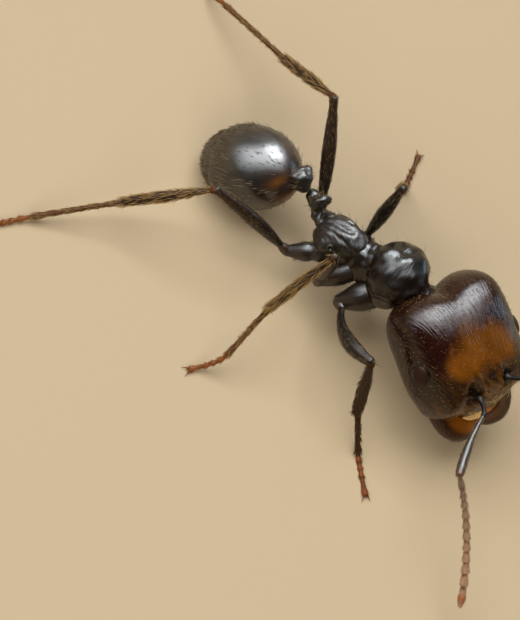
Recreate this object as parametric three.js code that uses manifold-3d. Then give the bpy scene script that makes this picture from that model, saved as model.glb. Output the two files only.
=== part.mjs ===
// Major worker of a harvester ant (Messor), standing on six feet. Millimetres, +Z up, facing -Y.
// The ant's left is +X. The origin is at the middle of its bounding box, on the floor.
import * as THREE from 'three';
import { mergeVertices } from 'three/addons/utils/BufferGeometryUtils.js';
import Module from 'manifold-3d';

const wasm = await Module();
wasm.setup();

// ---- driving dimensions -------------------------------------------------------------------
const HEAD_WIDTH = 3.44;
const HEAD_FRONT = 1.62;        // from the middle of the head to the front edge of its face
const HEAD_BACK = 1.82;         // and to the back of its head
const FACE_RISE = 1.3;          // from the middle of the head out to the forehead
const THROAT_DROP = 0.93;       // and down to the throat
const TRUNK_LENGTH = 3.5;
const TRUNK_WIDTH = 1.84;
const GASTER_LENGTH = 2.95;
const GASTER_WIDTH = 2.3;
const GASTER_DEPTH = 2.2;

const TRUNK_HEIGHT = 2.56;      // middle of the trunk above the floor
const TRUNK_BACK = -0.24;       // middle of the trunk behind the origin
const TRUNK_SIDE = 0.47;        // middle of the trunk to the left of the origin
const TRUNK_PITCH = -16;        // nose up, degrees about X

// The middle of the head, from the middle of the trunk, and its turn in degrees.
const HEAD_MIDDLE = [-0.3, -3.2, -0.168];
const HEAD_DROOP = 19;
const HEAD_TILT = -4.7;
const HEAD_TURN = -19.3;

const GAP = 0.03;               // clearance between neighbouring plates
const TOE_HEIGHT = 0.2;         // axis of the last tarsal piece above the floor
const FEELER_THICK = 0.5;
const TARSUS_THICK = 0.5;

const deg = THREE.MathUtils.degToRad;
const vec = (x, y, z) => new THREE.Vector3(x, y, z);

// ---- materials ----------------------------------------------------------------------------
const GLOSSY = 0.25;
const SATIN = 0.3;
const RUGOSE = 0.42;
const DOWNY = 0.5;
function cuticle(colour, roughness = SATIN) {
  return new THREE.MeshStandardMaterial({ color: colour, roughness, metalness: 0 });
}
const BLACK = 0x17100d;
const MAROON = 0x3a1a10;
const UMBER = 0x33241a;
const RUST = 0x8a4a22;
const EYE_GREY = 0x4a4038;

// ---- solids from fields -------------------------------------------------------------------
// A field is negative inside the body and grows by about 1 for each millimetre outwards.
function ellipsoid([cx, cy, cz], [rx, ry, rz]) {
  return (p) => {
    const x = p.x - cx;
    const y = p.y - cy;
    const z = p.z - cz;
    const k0 = Math.hypot(x / rx, y / ry, z / rz);
    const k1 = Math.hypot(x / rx ** 2, y / ry ** 2, z / rz ** 2);
    return k1 === 0 ? -Math.min(rx, ry, rz) : k0 * (k0 - 1) / k1;
  };
}

function blend(softness, ...fields) {
  return (p) => {
    const total = fields.reduce((sum, field) => sum + Math.exp(-field(p) / softness), 0);
    return -softness * Math.log(total);
  };
}

// Projects an icosphere along the rays from `heart` onto the place where the field equals `grow`.
function bodySolid(field, heart, detail, grow = 0, reach = 4) {
  const geometry = new THREE.IcosahedronGeometry(1, detail);
  const place = geometry.attributes.position;
  const ray = vec(0, 0, 0);
  for (let i = 0; i < place.count; i += 1) {
    ray.fromBufferAttribute(place, i).normalize();
    let near = 0;
    let far = reach;
    for (let step = 0; step < 30; step += 1) {
      const middle = (near + far) / 2;
      const probe = heart.clone().addScaledVector(ray, middle);
      if (field(probe) < grow) {
        near = middle;
      } else {
        far = middle;
      }
    }
    place.setXYZ(i, ...heart.clone().addScaledVector(ray, near).toArray());
  }
  return geometry;
}

// A limb segment lies along +Y. `radius` gives its half thickness at 0..1 of its length.
function limbSolid(length, radius, grow = 0, sides = 8, steps = 6) {
  const profile = [new THREE.Vector2(0, -grow)];
  for (let i = 0; i <= steps; i += 1) {
    const t = i / steps;
    const y = THREE.MathUtils.lerp(-grow, length + grow, 0.04 + 0.92 * t);
    profile.push(new THREE.Vector2(radius(t) + grow, y));
  }
  profile.push(new THREE.Vector2(0, length + grow));
  return new THREE.LatheGeometry(profile, sides);
}

// ---- joining and cutting ------------------------------------------------------------------
function toManifold(geometry, matrix) {
  const bare = geometry.clone();
  bare.deleteAttribute('normal');
  bare.deleteAttribute('uv');
  const merged = mergeVertices(bare, 1e-5);
  if (matrix) {
    merged.applyMatrix4(matrix);
  }
  const vertProperties = new Float32Array(merged.attributes.position.array);
  const triVerts = new Uint32Array(merged.index.array);
  return new wasm.Manifold(new wasm.Mesh({ numProp: 3, vertProperties, triVerts }));
}

function toGeometry(solid) {
  const mesh = solid.getMesh();
  const geometry = new THREE.BufferGeometry();
  geometry.setAttribute('position', new THREE.BufferAttribute(new Float32Array(mesh.vertProperties), 3));
  geometry.setIndex(new THREE.BufferAttribute(new Uint32Array(mesh.triVerts), 1));
  geometry.computeVertexNormals();
  return geometry;
}

const ant = new THREE.Group();
const parts = {};

// `shape(grow)` makes the part's geometry, grown outwards by `grow`.
function addPart(parent, name, shape, material) {
  const mesh = new THREE.Mesh(shape(0), material);
  mesh.name = name;
  mesh.userData.shape = shape;
  parent.add(mesh);
  parts[name] = mesh;
  return mesh;
}

function addBody(parent, name, field, heart, detail, material) {
  return addPart(parent, name, (grow) => bodySolid(field, heart, detail, grow), material);
}

// Cuts `name` back to leave GAP between it and each neighbour.
function seat(name, ...neighbours) {
  const mesh = parts[name];
  const toLocal = mesh.matrixWorld.clone().invert();
  let solid = toManifold(mesh.geometry);
  for (const neighbour of neighbours) {
    const other = parts[neighbour];
    const matrix = toLocal.clone().multiply(other.matrixWorld);
    solid = solid.subtract(toManifold(other.userData.shape(GAP), matrix));
  }
  mesh.geometry = toGeometry(solid);
}

// ---- trunk --------------------------------------------------------------------------------
const trunk = new THREE.Group();
trunk.position.set(TRUNK_SIDE, TRUNK_BACK, TRUNK_HEIGHT);
trunk.rotation.x = deg(TRUNK_PITCH);
ant.add(trunk);

const halfTrunk = TRUNK_LENGTH / 2;
const halfTrunkWidth = TRUNK_WIDTH / 2;

const pronotumField = blend(
  0.07,
  ellipsoid([0, -0.43 * halfTrunk, -0.04], [halfTrunkWidth, 0.46 * halfTrunk, 0.76]),
  ellipsoid([0.48, -0.41 * halfTrunk, -0.42], [0.42, 0.27 * halfTrunk, 0.48]),
  ellipsoid([-0.48, -0.41 * halfTrunk, -0.42], [0.42, 0.27 * halfTrunk, 0.48]),
  ellipsoid([0, 0.04 * halfTrunk, -0.06], [0.46, 0.36 * halfTrunk, 0.42]),
  ellipsoid([0, 0, -0.5], [0.6, 0.46 * halfTrunk, 0.5]),
  ellipsoid([0, -0.92 * halfTrunk, -0.12], [0.34, 0.3 * halfTrunk, 0.3]),
);
const propodeumField = blend(
  0.06,
  ellipsoid([0, 0.56 * halfTrunk, -0.06], [0.5, 0.42 * halfTrunk, 0.44]),
  ellipsoid([0, 0.6 * halfTrunk, -0.42], [0.58, 0.42 * halfTrunk, 0.4]),
);
addBody(trunk, 'pronotum', pronotumField, vec(0, -0.4, -0.2), 5, cuticle(BLACK));
addBody(trunk, 'propodeum', propodeumField, vec(0, 1, -0.2), 4, cuticle(BLACK, RUGOSE));

// ---- waist and gaster ---------------------------------------------------------------------
const petioleField = blend(
  0.05,
  ellipsoid([0, 0.34, 0.02], [0.16, 0.52, 0.16]),
  ellipsoid([0.06, 0.64, 0.3], [0.3, 0.2, 0.28]),
  ellipsoid([0.06, 0.86, 0.08], [0.17, 0.22, 0.17]),
);
const postpetioleField = blend(
  0.04,
  ellipsoid([0, 0, 0.02], [0.35, 0.3, 0.33]),
  ellipsoid([0.05, -0.1, -0.16], [0.2, 0.22, 0.25]),
  ellipsoid([0, 0.2, -0.06], [0.26, 0.3, 0.24]),
);
const gasterTip = [0.34 * GASTER_WIDTH, 0.28 * GASTER_LENGTH, 0.34 * GASTER_DEPTH];
const gasterField = blend(
  0.1,
  ellipsoid([0, -0.02, 0], [GASTER_WIDTH / 2, 0.46 * GASTER_LENGTH, GASTER_DEPTH / 2]),
  ellipsoid([0, 0.22 * GASTER_LENGTH, -0.06], gasterTip),
);

// Each waist piece is turned to the left of the trunk; the gaster hangs from the last of them.
function waistGroup(place, rise, swing) {
  const group = new THREE.Group();
  group.position.set(...place);
  group.rotation.set(deg(rise), 0, deg(-swing));
  trunk.add(group);
  return group;
}
const petioleGroup = waistGroup([0, 0.93 * halfTrunk, -0.28], 20, 30);
const postpetioleGroup = waistGroup([0.45, 2.78, 0.49], -6, 14);
const gasterGroup = waistGroup([0.3, 4.07, -0.1], -24, -3);
const MIDDLE = vec(0, 0, 0);
addBody(petioleGroup, 'petiole', petioleField, vec(0, 0.52, 0.12), 3, cuticle(BLACK, RUGOSE));
addBody(postpetioleGroup, 'postpetiole', postpetioleField, MIDDLE, 3, cuticle(BLACK, RUGOSE));
addBody(gasterGroup, 'gaster', gasterField, MIDDLE, 6, cuticle(BLACK, GLOSSY));

// ---- head ---------------------------------------------------------------------------------
// A squarish box with rounded edges, notched at the back on the midline. In its own frame X is
// left, -Y is forward to the jaws and Z is out of the face.
const SQUARE_FRONT = 3.2;       // how square each outline is: 2 is an ellipse, more is boxier
const SQUARE_BACK = 4.2;
const SQUARE_FACE = 2.55;
const SQUARE_THROAT = 2.5;
const NOTCH_DEPTH = 0.09;       // as a share of HEAD_BACK
const NOTCH_WIDTH = 0.45;
const CHEEK_SWELL = 0.09;       // how far the cheeks stand out above the roots of the jaws
const CHEEK = [1.25, 1.28];     // aside and forward
const CLYPEUS_SWELL = 0.12;     // how far the middle of the face's front edge stands out

function headField(p) {
  const forward = -p.y;
  const aside = Math.abs(p.x);
  const notch = NOTCH_DEPTH * Math.exp(-((p.x / NOTCH_WIDTH) ** 2));
  const along = forward > 0 ? forward / HEAD_FRONT : -forward / (HEAD_BACK * (1 - notch));
  const fromCheek = Math.hypot((aside - CHEEK[0]) / 0.35, (forward - CHEEK[1]) / 0.3);
  const cheek = CHEEK_SWELL * Math.exp(-(fromCheek ** 2));
  const fromClypeus = Math.hypot(p.x / 0.75, (forward - 1.6) / 0.3, (p.z - 0.3) / 0.5);
  const clypeus = CLYPEUS_SWELL * Math.exp(-(fromClypeus ** 2));
  const square = forward > 0 ? SQUARE_FRONT : SQUARE_BACK;
  const plan = ((aside / (HEAD_WIDTH / 2)) ** square + along ** square) ** (1 / square);
  const depth = Math.abs(p.z) / (p.z > 0 ? FACE_RISE : THROAT_DROP);
  const profile = p.z > 0 ? SQUARE_FACE : SQUARE_THROAT;
  return ((plan ** profile + depth ** profile) ** (1 / profile) - 1) * FACE_RISE - cheek - clypeus;
}

const head = new THREE.Group();
head.position.set(...HEAD_MIDDLE).add(trunk.position);
head.rotation.order = 'ZXY';
head.rotation.set(deg(HEAD_DROOP), deg(HEAD_TILT), deg(HEAD_TURN));
ant.add(head);
addBody(head, 'head', headField, MIDDLE, 7, cuticle(MAROON));

const EYE_TILT = 24;            // the eyes look this far out of the face
const eyeField = ellipsoid([0, 0, 0], [0.2, 0.29, 0.24]);
for (const [side, sign] of [['left', 1], ['right', -1]]) {
  const eye = addBody(head, `eye_${side}`, eyeField, MIDDLE, 1, cuticle(EYE_GREY));
  eye.position.set(sign * 1.57, -0.03, 0.63);
  eye.rotation.y = deg(-sign * EYE_TILT);
}

// A mandible is a thick blade: a convex outer edge from the cheek round to the midline, where
// the two close, and a concave inner edge that leaves the mouth open under the face.
const MANDIBLE_ROOT = 1.3;
const MANDIBLE_TIP = 2.28;
const MANDIBLE_THICK = 0.6;
const MANDIBLE_DROP = 0.2;      // the blades lie this far below the middle of the head
const BEVEL = { bevelEnabled: true, bevelSize: 0.04, bevelThickness: 0.12, bevelOffset: -0.04 };
function mandibleSolid(sign, grow) {
  const inner = 0.04 - grow;
  const outer = 1.28 + grow;
  const outline = new THREE.Shape();
  outline.moveTo(inner, MANDIBLE_TIP + grow);
  outline.bezierCurveTo(0.6, 2.75 + grow, 1.33 + grow, 2.25 + grow, outer, MANDIBLE_ROOT - grow);
  outline.lineTo(0.62 - grow, MANDIBLE_ROOT - grow);
  outline.lineTo(0.5 - grow, 1.85 - grow);
  outline.lineTo(inner, 2.04 - grow);
  outline.closePath();
  const thick = MANDIBLE_THICK + 2 * grow;
  const blade = new THREE.ExtrudeGeometry(outline, { depth: thick, curveSegments: 9, ...BEVEL });
  blade.rotateX(Math.PI);
  blade.translate(0, 0, thick / 2);
  if (sign < 0) {
    blade.rotateY(Math.PI);
  }
  blade.translate(0, 0, -MANDIBLE_DROP);
  return blade;
}
for (const [side, sign] of [['left', 1], ['right', -1]]) {
  addPart(head, `mandible_${side}`, (grow) => mandibleSolid(sign, grow), cuticle(MAROON));
}

// ---- antennae -----------------------------------------------------------------------------
// Each runs from its socket through the bend of the scape to the elbow, then to the tip. The
// socket, bend and elbow are places on the head; the rest are measured from the middle of the
// trunk: left, back, and above the floor.
ant.updateMatrixWorld(true);
const trunkPlace = (left, back, up) => vec(TRUNK_SIDE + left, TRUNK_BACK + back, up);
const headPlace = (left, forward, out) => head.localToWorld(vec(left, -forward, out));
const ANTENNAE = {
  right: {
    socket: headPlace(-0.45, 1.2, 0.98),
    bend: headPlace(-0.62, 1.46, 1.4),
    elbow: headPlace(-2.38, 2.48, 1.96),
    sag: trunkPlace(-4.21, -6.6, 2.27),
    tip: trunkPlace(-5.11, -7.7, 0.79),
  },
  left: {
    socket: headPlace(0.5, 1.05, 1.0),
    bend: headPlace(0.66, 1.2, 1.4),
    elbow: headPlace(2.4, 1.2, 2.2),
    sag: trunkPlace(2.5, -6.6, 3.2),
    tip: trunkPlace(3.1, -7.7, 1.3),
  },
};

function placeAlong(mesh, from, to) {
  mesh.position.copy(from);
  mesh.quaternion.setFromUnitVectors(vec(0, 1, 0), to.clone().sub(from).normalize());
}

class CurveSpan extends THREE.Curve {
  constructor(curve, start, end) {
    super();
    Object.assign(this, { curve, start, end });
  }

  getPoint(t, target = vec(0, 0, 0)) {
    return this.curve.getPoint(THREE.MathUtils.lerp(this.start, this.end, t), target);
  }
}

function feelerSolid(span, grow) {
  const ring = new THREE.Shape();
  ring.absarc(0, 0, FEELER_THICK / 2 + grow, 0, 2 * Math.PI);
  return new THREE.ExtrudeGeometry(ring, { steps: 6, curveSegments: 4, extrudePath: span });
}

for (const [side, antenna] of Object.entries(ANTENNAE)) {
  const { socket, bend, elbow, sag, tip } = antenna;
  const rootLength = socket.distanceTo(bend);
  const rootShape = (grow) => limbSolid(rootLength, () => 0.22, grow, 8, 2);
  placeAlong(addPart(ant, `scape_root_${side}`, rootShape, cuticle(UMBER)), socket, bend);
  const scapeLength = bend.distanceTo(elbow);
  const scapeShape = (grow) => limbSolid(scapeLength, (t) => 0.23 + 0.04 * t, grow, 8, 3);
  placeAlong(addPart(ant, `scape_${side}`, scapeShape, cuticle(UMBER)), bend, elbow);
  const course = new THREE.QuadraticBezierCurve3(elbow, sag, tip);
  const halves = { funiculus: [0.02, 0.49, UMBER], antenna_tip: [0.51, 1, RUST] };
  for (const [half, [start, end, colour]] of Object.entries(halves)) {
    const span = new CurveSpan(course, start, end);
    addPart(ant, `${half}_${side}`, (grow) => feelerSolid(span, grow), cuticle(colour, DOWNY));
  }
}

// ---- legs ---------------------------------------------------------------------------------
// Lengths and greatest half thicknesses of each pair, and where it is rooted: back, out and up
// from the middle of the trunk. A femur's length includes the trochanter.
const PAIRS = {
  front: {
    coxa: 0.42, femur: [2.52, 0.3], tibia: [1.84, 0.26], heel: 1.34, toes: 1.19, root: [-0.7, 0.4, 2.07],
  },
  middle: {
    coxa: 0.34, femur: [2.5, 0.28], tibia: [2.27, 0.26], heel: 1.64, toes: 1.1, root: [0.13, 0.28, 1.96],
  },
  hind: {
    coxa: 0.36, femur: [3.3, 0.29], tibia: [2.53, 0.26], heel: 2.4, toes: 1.39, root: [0.91, 0.27, 1.8],
  },
};
// The hip is a place; the rest are [heading, rise]. Headings: 0 is forward, 90 straight out to
// the leg's own side, 180 backward. Rises are above the horizontal. The last piece comes down
// to the floor by itself. A bow is how far the middle of the femur stands off its straight line.
const POSES = {
  front_right: {
    hip: [-0.12, 1.1, 1.44], femur: [47, 33], tibia: [26, -63], heel: [21, -48], toes: 42,
    bow: [-0.15, 0.21, -0.12],
  },
  middle_right: { hip: [0.62, 0.94, 1.26], femur: [124, 73], tibia: [101, -53], heel: [88, -42], toes: 121 },
  hind_right: { hip: [1.77, 0.82, 1.18], femur: [158, 29], tibia: [144, -44], heel: [132, -20], toes: 125 },
  front_left: { hip: [-0.95, 0.62, 1.28], femur: [24, 1], tibia: [10, -25], heel: [12, -10], toes: 20 },
  middle_left: { hip: [0.29, 1.2, 0.97], femur: [127, 76], tibia: [77, -58], heel: [77, -51], toes: 100 },
  hind_left: { hip: [1.71, 0.65, 1.35], femur: [141, 42], tibia: [145, -45], heel: [160, -27], toes: 154 },
};

function direction(sign, heading, rise) {
  const flat = Math.cos(deg(rise));
  return vec(sign * flat * Math.sin(deg(heading)), -flat * Math.cos(deg(heading)), Math.sin(deg(rise)));
}

const femurRadius = (thick) => (t) => thick * (0.78 + 0.35 * Math.sin(Math.PI * t ** 0.8) - 0.13 * t);
const tibiaRadius = (thick) => (t) => thick * (0.88 + 0.16 * Math.sin(Math.PI * t));

// Bends a limb segment sideways, most at its middle.
function bowed(geometry, length, bow) {
  const place = geometry.attributes.position;
  const point = vec(0, 0, 0);
  for (let i = 0; i < place.count; i += 1) {
    point.fromBufferAttribute(place, i);
    const share = Math.sin(Math.PI * THREE.MathUtils.clamp(point.y / length, 0, 1));
    place.setXYZ(i, ...point.addScaledVector(bow, share).toArray());
  }
  return geometry;
}

function addLeg(name, pair, pose) {
  const sign = name.endsWith('left') ? 1 : -1;
  const place = ([back, out, up]) => trunkPlace(sign * out, back, up);
  const root = place(pair.root);
  const hip = place(pose.hip);
  const knee = hip.clone().addScaledVector(direction(sign, ...pose.femur), pair.femur[0]);
  const ankle = knee.clone().addScaledVector(direction(sign, ...pose.tibia), pair.tibia[0]);
  const ball = ankle.clone().addScaledVector(direction(sign, ...pose.heel), pair.heel);
  const drop = THREE.MathUtils.radToDeg(Math.asin((TOE_HEIGHT - ball.z) / pair.toes));
  const toe = ball.clone().addScaledVector(direction(sign, pose.toes, drop), pair.toes);
  const toeRadius = TARSUS_THICK / 2;
  const coxaRadius = (t) => pair.coxa * (1 - 0.3 * t ** 2);
  const pieces = [
    ['coxa', root, hip, coxaRadius, UMBER],
    ['femur', hip, knee, femurRadius(pair.femur[1]), BLACK],
    ['tibia', knee, ankle, tibiaRadius(pair.tibia[1]), UMBER],
    ['heel', ankle, ball, () => toeRadius, UMBER],
    ['toes', ball, toe, () => toeRadius, RUST],
  ];
  for (const [piece, from, to, radius, colour] of pieces) {
    const length = from.distanceTo(to);
    const steps = { coxa: 3, femur: 6, tibia: 3, heel: 1, toes: 1 }[piece];
    const upright = new THREE.Quaternion().setFromUnitVectors(to.clone().sub(from).normalize(), vec(0, 1, 0));
    const bow = vec(...(piece === 'femur' && pose.bow ? pose.bow : [0, 0, 0])).applyQuaternion(upright);
    const shape = (grow) => bowed(limbSolid(length, radius, grow, 8, steps), length, bow);
    placeAlong(addPart(ant, `${piece}_${name}`, shape, cuticle(colour)), from, to);
  }
}

for (const [name, pose] of Object.entries(POSES)) {
  addLeg(name, PAIRS[name.split('_')[0]], pose);
}

// ---- seating the pieces on each other -----------------------------------------------------
ant.updateMatrixWorld(true);

const floor = new THREE.BoxGeometry(60, 60, 10);
floor.translate(0, 0, -5);
function standOnFloor(name) {
  const mesh = parts[name];
  const solid = toManifold(mesh.geometry);
  mesh.geometry = toGeometry(solid.subtract(toManifold(floor, mesh.matrixWorld.clone().invert())));
}

seat('pronotum', 'head');
seat('propodeum', 'pronotum');
seat('petiole', 'propodeum');
seat('postpetiole', 'petiole');
seat('gaster', 'postpetiole');
for (const side of ['left', 'right']) {
  seat(`eye_${side}`, 'head');
  seat(`mandible_${side}`, 'head');
  seat(`scape_root_${side}`, 'head');
  seat(`scape_${side}`, 'head', `scape_root_${side}`);
  seat(`funiculus_${side}`, `scape_${side}`);
}
for (const side of ['left', 'right']) {
  seat(`coxa_middle_${side}`, `coxa_front_${side}`);
  seat(`coxa_hind_${side}`, `coxa_middle_${side}`);
}
for (const name of Object.keys(POSES)) {
  seat(`coxa_${name}`, 'pronotum', 'propodeum', 'petiole');
  seat(`femur_${name}`, `coxa_${name}`, 'pronotum', 'propodeum');
  seat(`tibia_${name}`, `femur_${name}`);
  seat(`heel_${name}`, `tibia_${name}`);
  seat(`toes_${name}`, `heel_${name}`);
  standOnFloor(`toes_${name}`);
}

export default ant;
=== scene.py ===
"""The looks of a harvester ant (Messor), a large-headed worker standing on six feet.

Every length is in millimetres until a mesh is made. The ant faces -Y and its left is +X, as in the CAD
model, and the skeleton below repeats the CAD model's own measures.
"""
import math

import bmesh
import bpy
import numpy as np
from mathutils import Matrix, Vector


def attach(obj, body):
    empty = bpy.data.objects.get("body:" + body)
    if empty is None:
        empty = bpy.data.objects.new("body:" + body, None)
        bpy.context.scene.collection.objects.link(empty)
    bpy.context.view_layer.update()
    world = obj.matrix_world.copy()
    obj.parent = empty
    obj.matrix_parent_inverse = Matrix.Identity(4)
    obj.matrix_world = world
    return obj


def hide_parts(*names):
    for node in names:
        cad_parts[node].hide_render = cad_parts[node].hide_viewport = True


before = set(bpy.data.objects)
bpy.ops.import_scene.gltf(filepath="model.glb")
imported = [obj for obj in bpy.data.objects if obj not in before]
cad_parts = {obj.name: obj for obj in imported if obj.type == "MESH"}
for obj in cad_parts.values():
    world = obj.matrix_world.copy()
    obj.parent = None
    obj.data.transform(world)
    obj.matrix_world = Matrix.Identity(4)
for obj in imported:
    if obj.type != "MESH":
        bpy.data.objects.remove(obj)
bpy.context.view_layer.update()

MM = 0.001
SIDES = {"left": 1, "right": -1}

# ---- sizes shared with the CAD model
HEAD_WIDTH = 3.44
HEAD_FRONT = 1.62
HEAD_BACK = 1.82
FACE_RISE = 1.3
THROAT_DROP = 0.93
TRUNK_LENGTH = 3.5
TRUNK_WIDTH = 1.84
GASTER_LENGTH = 2.95
GASTER_WIDTH = 2.3
GASTER_DEPTH = 2.2
TRUNK_HEIGHT = 2.56
TRUNK_BACK = -0.24
TRUNK_SIDE = 0.47
TRUNK_PITCH = -16
HALF = TRUNK_LENGTH / 2  # the trunk's plates are placed by it
SOLE = 0.075             # height of the last tarsal piece's axis above the floor
FLOOR_GAP = 0.002        # no point of the model is lower


# ---- vectors and places
def vec(*numbers):
    return np.array(numbers, float)


ABOVE = vec(0, 0, 1)


def stacked(*values):
    """Values side by side, as points or as places on a map."""
    return np.stack(values, axis=-1)


def unit(vectors):
    vectors = np.asarray(vectors, float)
    return vectors / np.maximum(np.linalg.norm(vectors, axis=-1, keepdims=True), 1e-12)


def turn(axis, degrees):
    """The matrix of a turn about x, y or z."""
    i, j = {"x": (1, 2), "y": (2, 0), "z": (0, 1)}[axis]
    c, s = math.cos(math.radians(degrees)), math.sin(math.radians(degrees))
    matrix = np.eye(3)
    matrix[i, i] = matrix[j, j] = c
    matrix[i, j], matrix[j, i] = -s, s
    return matrix


class Place:
    """Where a body part's own frame sits in the shared frame."""

    def __init__(self, origin, matrix):
        self.origin = np.asarray(origin, float)
        self.matrix = matrix

    def out(self, points):
        return np.asarray(points, float) @ self.matrix.T + self.origin

    def aim(self, directions):
        return np.asarray(directions, float) @ self.matrix.T

    def child(self, origin, matrix):
        return Place(self.out(origin), self.matrix @ matrix)


def step(x, start, end):
    """0 before start, 1 after end, and smooth between."""
    t = np.clip((x - start) / (end - start), 0, 1)
    return t * t * (3 - 2 * t)


def between(x, start, full, fading, end):
    """A rise from 0 to 1, and a fall to 0 again."""
    return step(x, start, full) * (1 - step(x, fading, end))


def hump(x, centre, width):
    return np.exp(-(((x - centre) / width) ** 2))


def ripple(points, size, seed):
    """Smooth waves of about +-1 that repeat nowhere in sight, `size` millimetres long."""
    draw = np.random.default_rng(seed)
    total = np.zeros(len(points))
    for _ in range(6):
        wave = unit(draw.normal(size=3)) * 2 * math.pi / size * draw.uniform(0.7, 1.5)
        total += np.sin(points @ wave + draw.uniform(0, 2 * math.pi))
    return total / 3


# ---- the skeleton
TRUNK = Place((TRUNK_SIDE, TRUNK_BACK, TRUNK_HEIGHT), turn("x", TRUNK_PITCH))
HEAD = Place(TRUNK.origin + vec(-0.3, -3.2, -0.168), turn("z", -19.3) @ turn("x", 19) @ turn("y", -4.7))


def waist_place(origin, rise, swing):
    return TRUNK.child(origin, turn("x", rise) @ turn("z", -swing))


PETIOLE = waist_place((0, 0.93 * HALF, -0.28), 20, 30)
POSTPETIOLE = waist_place((0.45, 2.78, 0.49), -6, 14)
GASTER = waist_place((0.3, 4.07, -0.1), -24, -3)


def trunk_place(left, back, up):
    return vec(TRUNK_SIDE + left, TRUNK_BACK + back, up)


def head_place(left, forward, out):
    return HEAD.out(vec(left, -forward, out))


# Socket, bend, elbow, sag and tip of each feeler.
ANTENNAE = {
    "right": (
        head_place(-0.45, 1.2, 0.98), head_place(-0.62, 1.46, 1.4), head_place(-2.38, 2.48, 1.96),
        trunk_place(-4.21, -6.6, 2.27), trunk_place(-5.11, -7.7, 0.79),
    ),
    "left": (
        head_place(0.5, 1.05, 1.0), head_place(0.66, 1.2, 1.4), head_place(2.4, 1.2, 2.2),
        trunk_place(2.5, -6.6, 3.2), trunk_place(3.1, -7.7, 1.3),
    ),
}


def table(columns, rows):
    """Rows of values, to be called by the names of their columns."""
    return {name: dict(zip(columns, row)) for name, row in rows.items()}


# Lengths and greatest half thicknesses of the leg's pieces, and where each pair is rooted:
# back, out and up.
PAIRS = table(("coxa", "femur", "tibia", "heel", "toes", "root"), {
    "front": (0.42, (2.52, 0.225), (1.84, 0.15), 1.34, 1.19, (-0.7, 0.4, 2.07)),
    "middle": (0.3, (2.5, 0.2), (2.27, 0.14), 1.64, 1.1, (0.13, 0.28, 1.96)),
    "hind": (0.32, (3.3, 0.2), (2.53, 0.14), 2.4, 1.39, (0.91, 0.27, 1.8)),
})
# Where each hip is, and each piece's heading and rise in degrees. Headings are 0 forward, 90
# outward and 180 back; rises are above the level. The toes come down to the floor, so they have
# only a heading.
POSES = table(("hip", "femur", "tibia", "heel", "toes"), {
    "front_right": ((-0.12, 1.1, 1.44), (47, 33), (26, -63), (21, -48), 42),
    "middle_right": ((0.62, 0.94, 1.26), (124, 73), (101, -53), (88, -42), 121),
    "hind_right": ((1.77, 0.82, 1.18), (158, 29), (144, -44), (132, -20), 125),
    "front_left": ((-0.95, 0.62, 1.28), (24, 1), (10, -25), (12, -10), 20),
    "middle_left": ((0.29, 1.2, 0.97), (127, 76), (77, -58), (77, -51), 100),
    "hind_left": ((1.71, 0.65, 1.35), (141, 42), (145, -45), (160, -27), 154),
})


def direction(sign, heading, rise):
    flat = math.cos(math.radians(rise))
    heading = math.radians(heading)
    return vec(sign * flat * math.sin(heading), -flat * math.cos(heading), math.sin(math.radians(rise)))


def leg_joints(name):
    """Root, hip, knee, ankle, ball and toe of a leg, in the shared frame."""
    pair, side = name.split("_")
    sizes, pose, sign = PAIRS[pair], POSES[name], SIDES[side]
    root, hip = (trunk_place(sign * out, back, up) for back, out, up in (sizes["root"], pose["hip"]))
    knee = hip + direction(sign, *pose["femur"]) * sizes["femur"][0]
    ankle = knee + direction(sign, *pose["tibia"]) * sizes["tibia"][0]
    ball = ankle + direction(sign, *pose["heel"]) * sizes["heel"]
    drop = -math.degrees(math.asin((ball[2] - SOLE) / sizes["toes"]))
    toe = ball + direction(sign, pose["toes"], drop) * sizes["toes"]
    return root, hip, knee, ankle, ball, toe


# ---- colours, in linear light
def colour(red, green, blue):
    """A colour written as 0 to 255 on the screen, in linear light."""
    screen = np.array([red, green, blue]) / 255
    return np.where(screen <= 0.04045, screen / 12.92, ((screen + 0.055) / 1.055) ** 2.4)


PITCH = colour(18, 9, 4)
SOOT = colour(27, 16, 9)
MAROON = colour(38, 5, 2)
CHESTNUT = colour(70, 34, 12)
AMBER = colour(122, 68, 0)
UMBER = colour(60, 37, 20)
RUST = colour(140, 76, 40)
STRAW = colour(206, 178, 128)
GOLD = colour(206, 164, 92)
SMOKE = colour(104, 80, 52)
PALE = colour(236, 214, 178)
DUSTY = colour(176, 138, 98)
DARK = UMBER, SMOKE  # of the darkest hairs


def mix(first, second, share):
    share = np.clip(np.asarray(share, float), 0, 1)[..., None]
    return first * (1 - share) + second * share


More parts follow.
